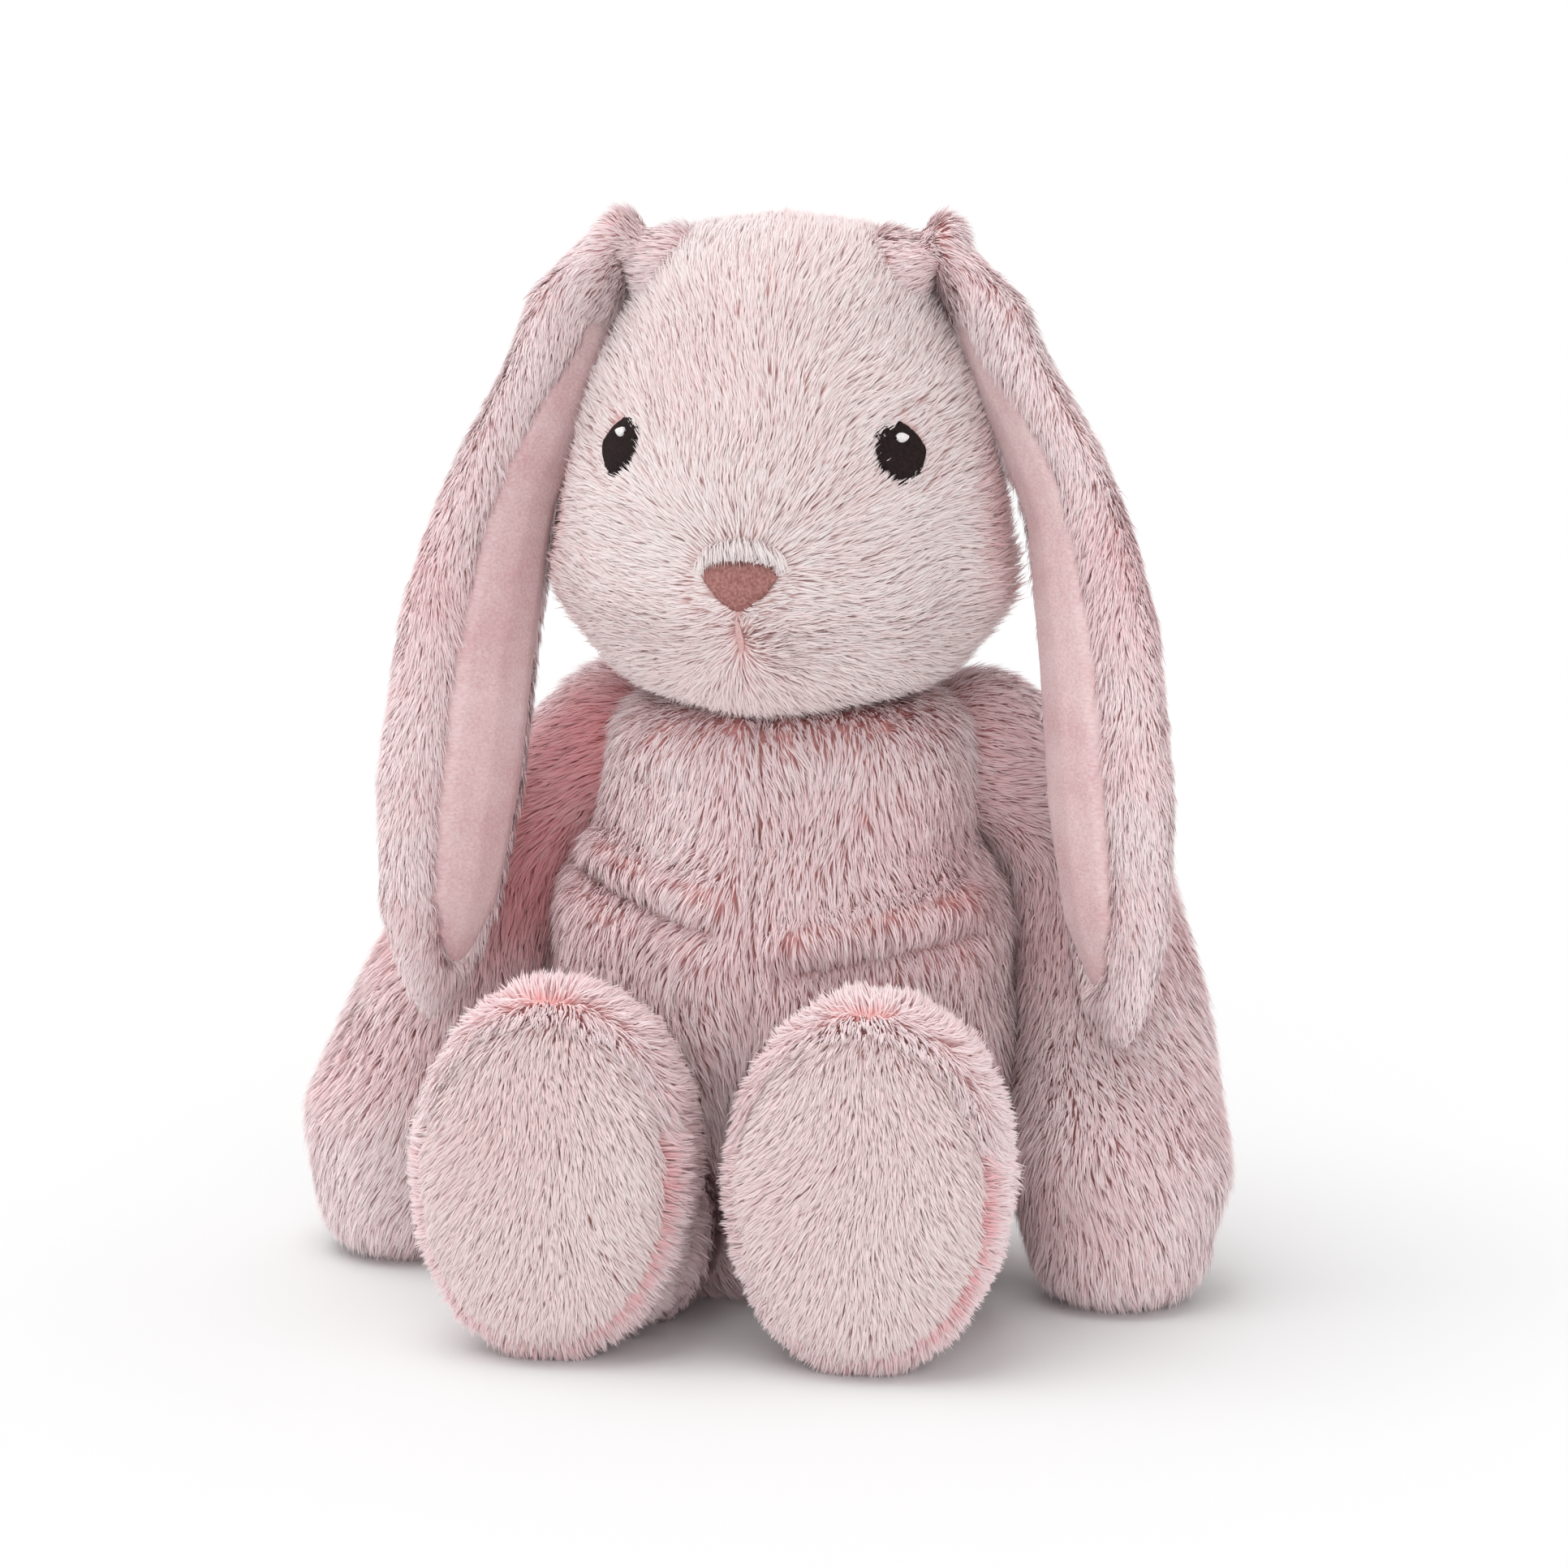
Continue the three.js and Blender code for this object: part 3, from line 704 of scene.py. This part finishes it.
def arm_pile(side, sign):
    """The arms' pile, with painted shadow on the front of the upper arms under the ears, darker than the
    paws.
    """
    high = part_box(f"arm_cover_{side}")[1]
    # How dark the painted shadow of the head and ear on the upper arm is: the toy's right arm lies deeper
    # in it.
    depth = 0.25 if sign > 0 else 0.85

    def shade(places):
        # Painted shadow: the front of the upper arm, where the shadow of the head and ear falls.
        upper = step(places[:, 2], 0.42 * high.z, 0.7 * high.z)
        upper = upper * step(24 * MM - places[:, 1], 0, 18 * MM)
        return 0.88 - depth * upper + 0.07 * waves(places, 55 * MM, 56)

    def flow(places):
        top = step(places[:, 2], 0.62 * high.z, 0.9 * high.z)
        return np.stack((sign * (0.25 + 0.75 * top), -0.1 + 0 * top, -1 + 0.85 * top), 1)

    pile(f"arm_pile_{side}", arms[side], STRANDS["arm_pile"], flow, 51, f"arm_{side}", [body], shade=shade)


def leg_pile(side):
    """The foot's pile lies back from its sole, and the sole's own paler pile hangs down."""
    sole = f"foot_sole_{side}"
    low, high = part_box(sole)
    middle = centre(sole) + FOOT_LEAN

    def on_sole(places, normals):
        inside = oval(places, sole, 2 * MM, FOOT_LEAN) < 1
        return inside & (normals[:, 1] < -0.55) & (places[:, 1] < high.y)

    def on_toe(places):
        front = 1 - step(places[:, 1], high.y, high.y + 12 * MM)
        return front * step(places[:, 2] - middle[2], 0, 25 * MM)

    def shade(places):
        # Painted shade: a darker band in the seam round the sole, only toward +x and low down, on the side
        # away from the light.
        seam = bell(oval(places, sole, 2.5 * MM, FOOT_LEAN), 1.0, 0.05) * (places[:, 1] < high.y)
        beside = step(places[:, 0] - middle[0], 5 * MM, 25 * MM)
        beside = beside * step(middle[2] + 20 * MM - places[:, 2], 0, 20 * MM)
        return 0.78 + 0.14 * on_toe(places) - 0.5 * seam * beside + 0.07 * waves(places, 55 * MM, 66)

    def flow(places):
        away = places - middle
        foot = 1 - step(places[:, 1], middle[1] + 30 * MM, middle[1] + 50 * MM)
        toe = on_toe(places)
        back = np.stack((0 * foot, (foot * 2 - 1) * (1 - 1.4 * toe), -0.35 - 0.65 * toe), 1)
        return back + unit(away) * (0.4 * foot * (1 - toe))[:, None]

    def sole_flow(places):
        aside = (places[:, 0] - middle[0]) / (high.x - low.x)
        return np.stack((1.6 * aside, 0 * aside, -1 + 0 * aside), 1)

    pile(f"leg_pile_{side}", legs[side], STRANDS["leg_pile"], flow, 61, f"leg_{side}", [body],
         keep=lambda places, normals: ~on_sole(places, normals), length=0.9 * PILE, shade=shade)
    pile(f"sole_pile_{side}", legs[side], STRANDS["sole_pile"], sole_flow, 62, f"leg_{side}", keep=on_sole,
         finish=SOLE_FUR, slot="sole_plush", length=0.7 * PILE, shade=0.74, tuft=1.4 * MM, gather=0.35)


def ear_pile(side, sign):
    """The ear's pile runs outward from its root and then hangs down, with painted shade along its outer
    edge.
    """
    root = joint_place(f"ear_lift_{side}")

    def flow(places):
        out = 1 - step(sign * (places[:, 0] - root[0]), 5 * MM, 28 * MM)
        return np.stack((sign * (0.12 + out), -0.1 - 0.1 * out, -1 + 1.1 * out), 1)

    def shade(places):
        # Painted shade: a darker streak along the ear's outer edge.
        edge = step(sign * places[:, 0], 82 * MM, 96 * MM) * bell(places[:, 2], 215 * MM, 50 * MM)
        return 0.92 - 0.2 * edge + 0.05 * waves(places, 30 * MM, 76)

    pile(f"ear_pile_{side}", ears[side], STRANDS["ear_pile"], flow, 71, f"ear_{side}",
         [head, linings[side]], shade=shade, length=0.72 * PILE, tuft=1.4 * MM, gather=0.3,
         lean=(50, 80))


def down(places):
    """Pile that hangs straight down."""
    return np.broadcast_to([0.0, 0.0, -1.0], places.shape).copy()


def eye_shift(side):
    """The embroidered eye sits a little low and inward on its oval."""
    return (-0.7 * SIDES[side] * MM, 0, -0.6 * MM)


def threads(name, node, outline, stitch, rise, finish, shift=(0, 0, 0), size=1.0):
    """Satin stitch over an embroidered node: upright threads side by side, laid on the head.

    outline gives the (lowest, highest) place of a thread, from -1 to 1, at each place across. stitch
    is how far apart the threads lie and their radius, and rise how far they stand above the head.
    shift moves the patch on the head, and size scales it.
    """
    spacing, radius = stitch
    middle = centre(node) + np.array(shift)
    tree = BVHTree.FromObject(head, bpy.context.evaluated_depsgraph_get())
    outward = np.array(tree.find_nearest(Vector(middle))[1])
    across = unit(np.cross([0, 0, 1], outward))
    up = np.cross(outward, across)
    low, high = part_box(node)
    half_height = size * (high.z - low.z) / 2 / up[2]
    half_width = size * np.linalg.norm(np.array(high - low)[:2]) / 2
    bm = bmesh.new()
    count = int(2 * half_width / spacing)
    rng = np.random.default_rng(5)
    for index in range(count):
        share = (index + 0.5) / count * 2 - 1
        bottom, top = outline(share)
        bottom, top = np.array([bottom, top]) + rng.uniform(-0.03, 0.03, 2)
        rings = []
        for place in np.linspace(bottom, top, THREAD_RINGS):
            start = middle + across * share * half_width + up * place * half_height + outward * 20 * MM
            hit = tree.ray_cast(Vector(start), Vector(-outward))
            arch = 1 - abs(2 * (place - bottom) / (top - bottom) - 1) ** 4
            point = np.array(hit[0]) + outward * (rise * (0.35 + 0.65 * arch))
            wide = radius * (0.55 + 0.45 * arch)
            rings.append([
                bm.verts.new(point + across * wide * math.cos(turn) + outward * wide * math.sin(turn))
                for turn in np.linspace(0, 2 * math.pi, THREAD_CORNERS, endpoint=False)
            ])
        for below, above in zip(rings, rings[1:]):
            for corner in range(THREAD_CORNERS):
                after = (corner + 1) % THREAD_CORNERS
                bm.faces.new((below[corner], below[after], above[after], above[corner]))
        bm.faces.new(rings[0][::-1])
        bm.faces.new(rings[-1])
    mesh = bpy.data.meshes.new(name)
    bm.to_mesh(mesh)
    mesh.shade_smooth()
    made = link(name, mesh, finish)
    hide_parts(node)
    return ready(made, "head")


def eye_outline(share):
    """An oval."""
    half = math.sqrt(max(0, 1 - share * share))
    return -half, half


def nose_outline(share):
    """A rounded triangle with its point down."""
    rounded = math.sqrt(max(0, 1 - abs(share) ** 4))
    return -1 + 1.35 * abs(share) ** 1.9, 0.2 + 0.8 * rounded


def nose_fringe():
    """Fine strands combed down over the top edge of the nose."""
    low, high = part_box("nose")
    rng = np.random.default_rng(8)
    tree = BVHTree.FromObject(head, bpy.context.evaluated_depsgraph_get())
    roots, normals = [], []
    for _ in range(STRANDS["nose_fringe"]):
        share = rng.uniform(-1.4, 1.4)
        x = share * (high.x - low.x) / 2
        z = high.z + (7.6 - 2.2 * share ** 2) * MM + rng.uniform(-0.8, 1.6) * MM
        place, normal, _, _ = tree.find_nearest(Vector((x, low.y, z)))
        roots.append(place)
        normals.append(normal)
    roots, normals = np.array(roots), np.array(normals)
    flow = np.stack((roots[:, 0] * 12, 0 * roots[:, 0], -np.ones(len(roots))), 1)
    made = fur("nose_fringe", roots, normals, flow, 9, FACE_FUR, length=9.5 * MM, width=0.4 * MM,
               tuft=1.1 * MM, lean=(30, 88), shade=0.97, gather=0.4)
    ready(made, "head")


nose_fringe()
for side in SIDES:
    threads(f"eye_threads_{side}", f"eye_{side}", eye_outline, STITCH, 2.4 * MM,
            EYE_THREAD, shift=eye_shift(side), size=0.93)
    threads(f"eye_glint_threads_{side}", f"eye_glint_{side}", eye_outline, GLINT_STITCH, 3.2 * MM,
            WHITE_THREAD, shift=eye_shift(side))
threads("nose_threads", "nose", nose_outline, STITCH, 2.8 * MM, NOSE_THREAD)
head_pile()
body_pile()
pile("tail_pile", tail, STRANDS["tail_pile"], down, 41, "torso", [body], shade=0.9)
pile("neck_pile", neck, STRANDS["neck_pile"], down, 42, "neck", [head, body], shade=0.92,
     length=0.7 * PILE)
for side, sign in SIDES.items():
    arm_pile(side, sign)
    leg_pile(side)
    ear_pile(side, sign)

ready(head, "head")
ready(body, "torso")
ready(tail, "torso")
ready(neck, "neck")
for side in SIDES:
    ready(arms[side], f"arm_{side}")
    ready(legs[side], f"leg_{side}")
    ready(ears[side], f"ear_{side}")
    ready(linings[side], f"ear_{side}")
mouth = frame["nodes"]["mouth_stitch"]
mouth.data.materials.clear()
mouth.data.materials.append(MOUTH_THREAD)


# ---------------------------------------------------------------- the studio


def sun(name, energy, spread, towards):
    """A soft sun that stands this way from the toy and is spread degrees across."""
    light = bpy.data.lights.new(name, "SUN")
    light.energy = energy
    light.angle = math.radians(spread)
    lamp = bpy.data.objects.new(name, light)
    lamp.rotation_euler = Vector(towards).to_track_quat("Z", "Y").to_euler()
    bpy.context.scene.collection.objects.link(lamp)


def studio():
    """A wide pale floor, a soft pale sky that is white near the horizon, two soft suns, the camera."""
    mesh = bpy.data.meshes.new("floor")
    reach = 30
    mesh.from_pydata([(-reach, -reach, 0), (reach, -reach, 0), (reach, reach, 0), (-reach, reach, 0)],
                     [], [(0, 1, 2, 3)])
    finish = material("floor", (0.90, 0.90, 0.90), roughness=0.9)[0]
    floor = link("floor", mesh, finish)
    floor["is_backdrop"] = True

    world = bpy.data.worlds.new("studio")
    world.use_nodes = True
    nodes, links = world.node_tree.nodes, world.node_tree.links
    direction = nodes.new("ShaderNodeTexCoord")
    split = nodes.new("ShaderNodeSeparateXYZ")
    sky = ramp(nodes, ((0.22, (1, 1, 1)), (0.38, (0.68, 0.68, 0.68))))
    links.new(direction.outputs["Generated"], split.inputs[0])
    links.new(split.outputs["Z"], sky.inputs["Fac"])
    links.new(sky.outputs["Color"], nodes["Background"].inputs["Color"])
    bpy.context.scene.world = world

    sun("softbox", 1.3, 50, (-0.3, -0.08, 1.0))
    sun("fill", 0.6, 60, (0.1, -1.0, 0.12))

    lens = bpy.data.cameras.new("camera")
    lens.lens = VIEW_LENS
    lens.sensor_width = 36
    camera = bpy.data.objects.new("camera", lens)
    away = Vector((math.sin(VIEW_AZIMUTH) * math.cos(VIEW_ELEVATION),
                   -math.cos(VIEW_AZIMUTH) * math.cos(VIEW_ELEVATION), math.sin(VIEW_ELEVATION)))
    camera.location = Vector((0, 0, AIM_HEIGHT)) + away * VIEW_DISTANCE
    camera.rotation_euler = away.to_track_quat("Z", "Y").to_euler()
    bpy.context.scene.collection.objects.link(camera)
    bpy.context.scene.camera = camera
    bpy.context.scene.view_settings.view_transform = "Standard"


studio()

as_lists = lambda box: [list(map(float, corner)) for corner in box]
{"cad": as_lists(cad_box), "visual": as_lists(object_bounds())}
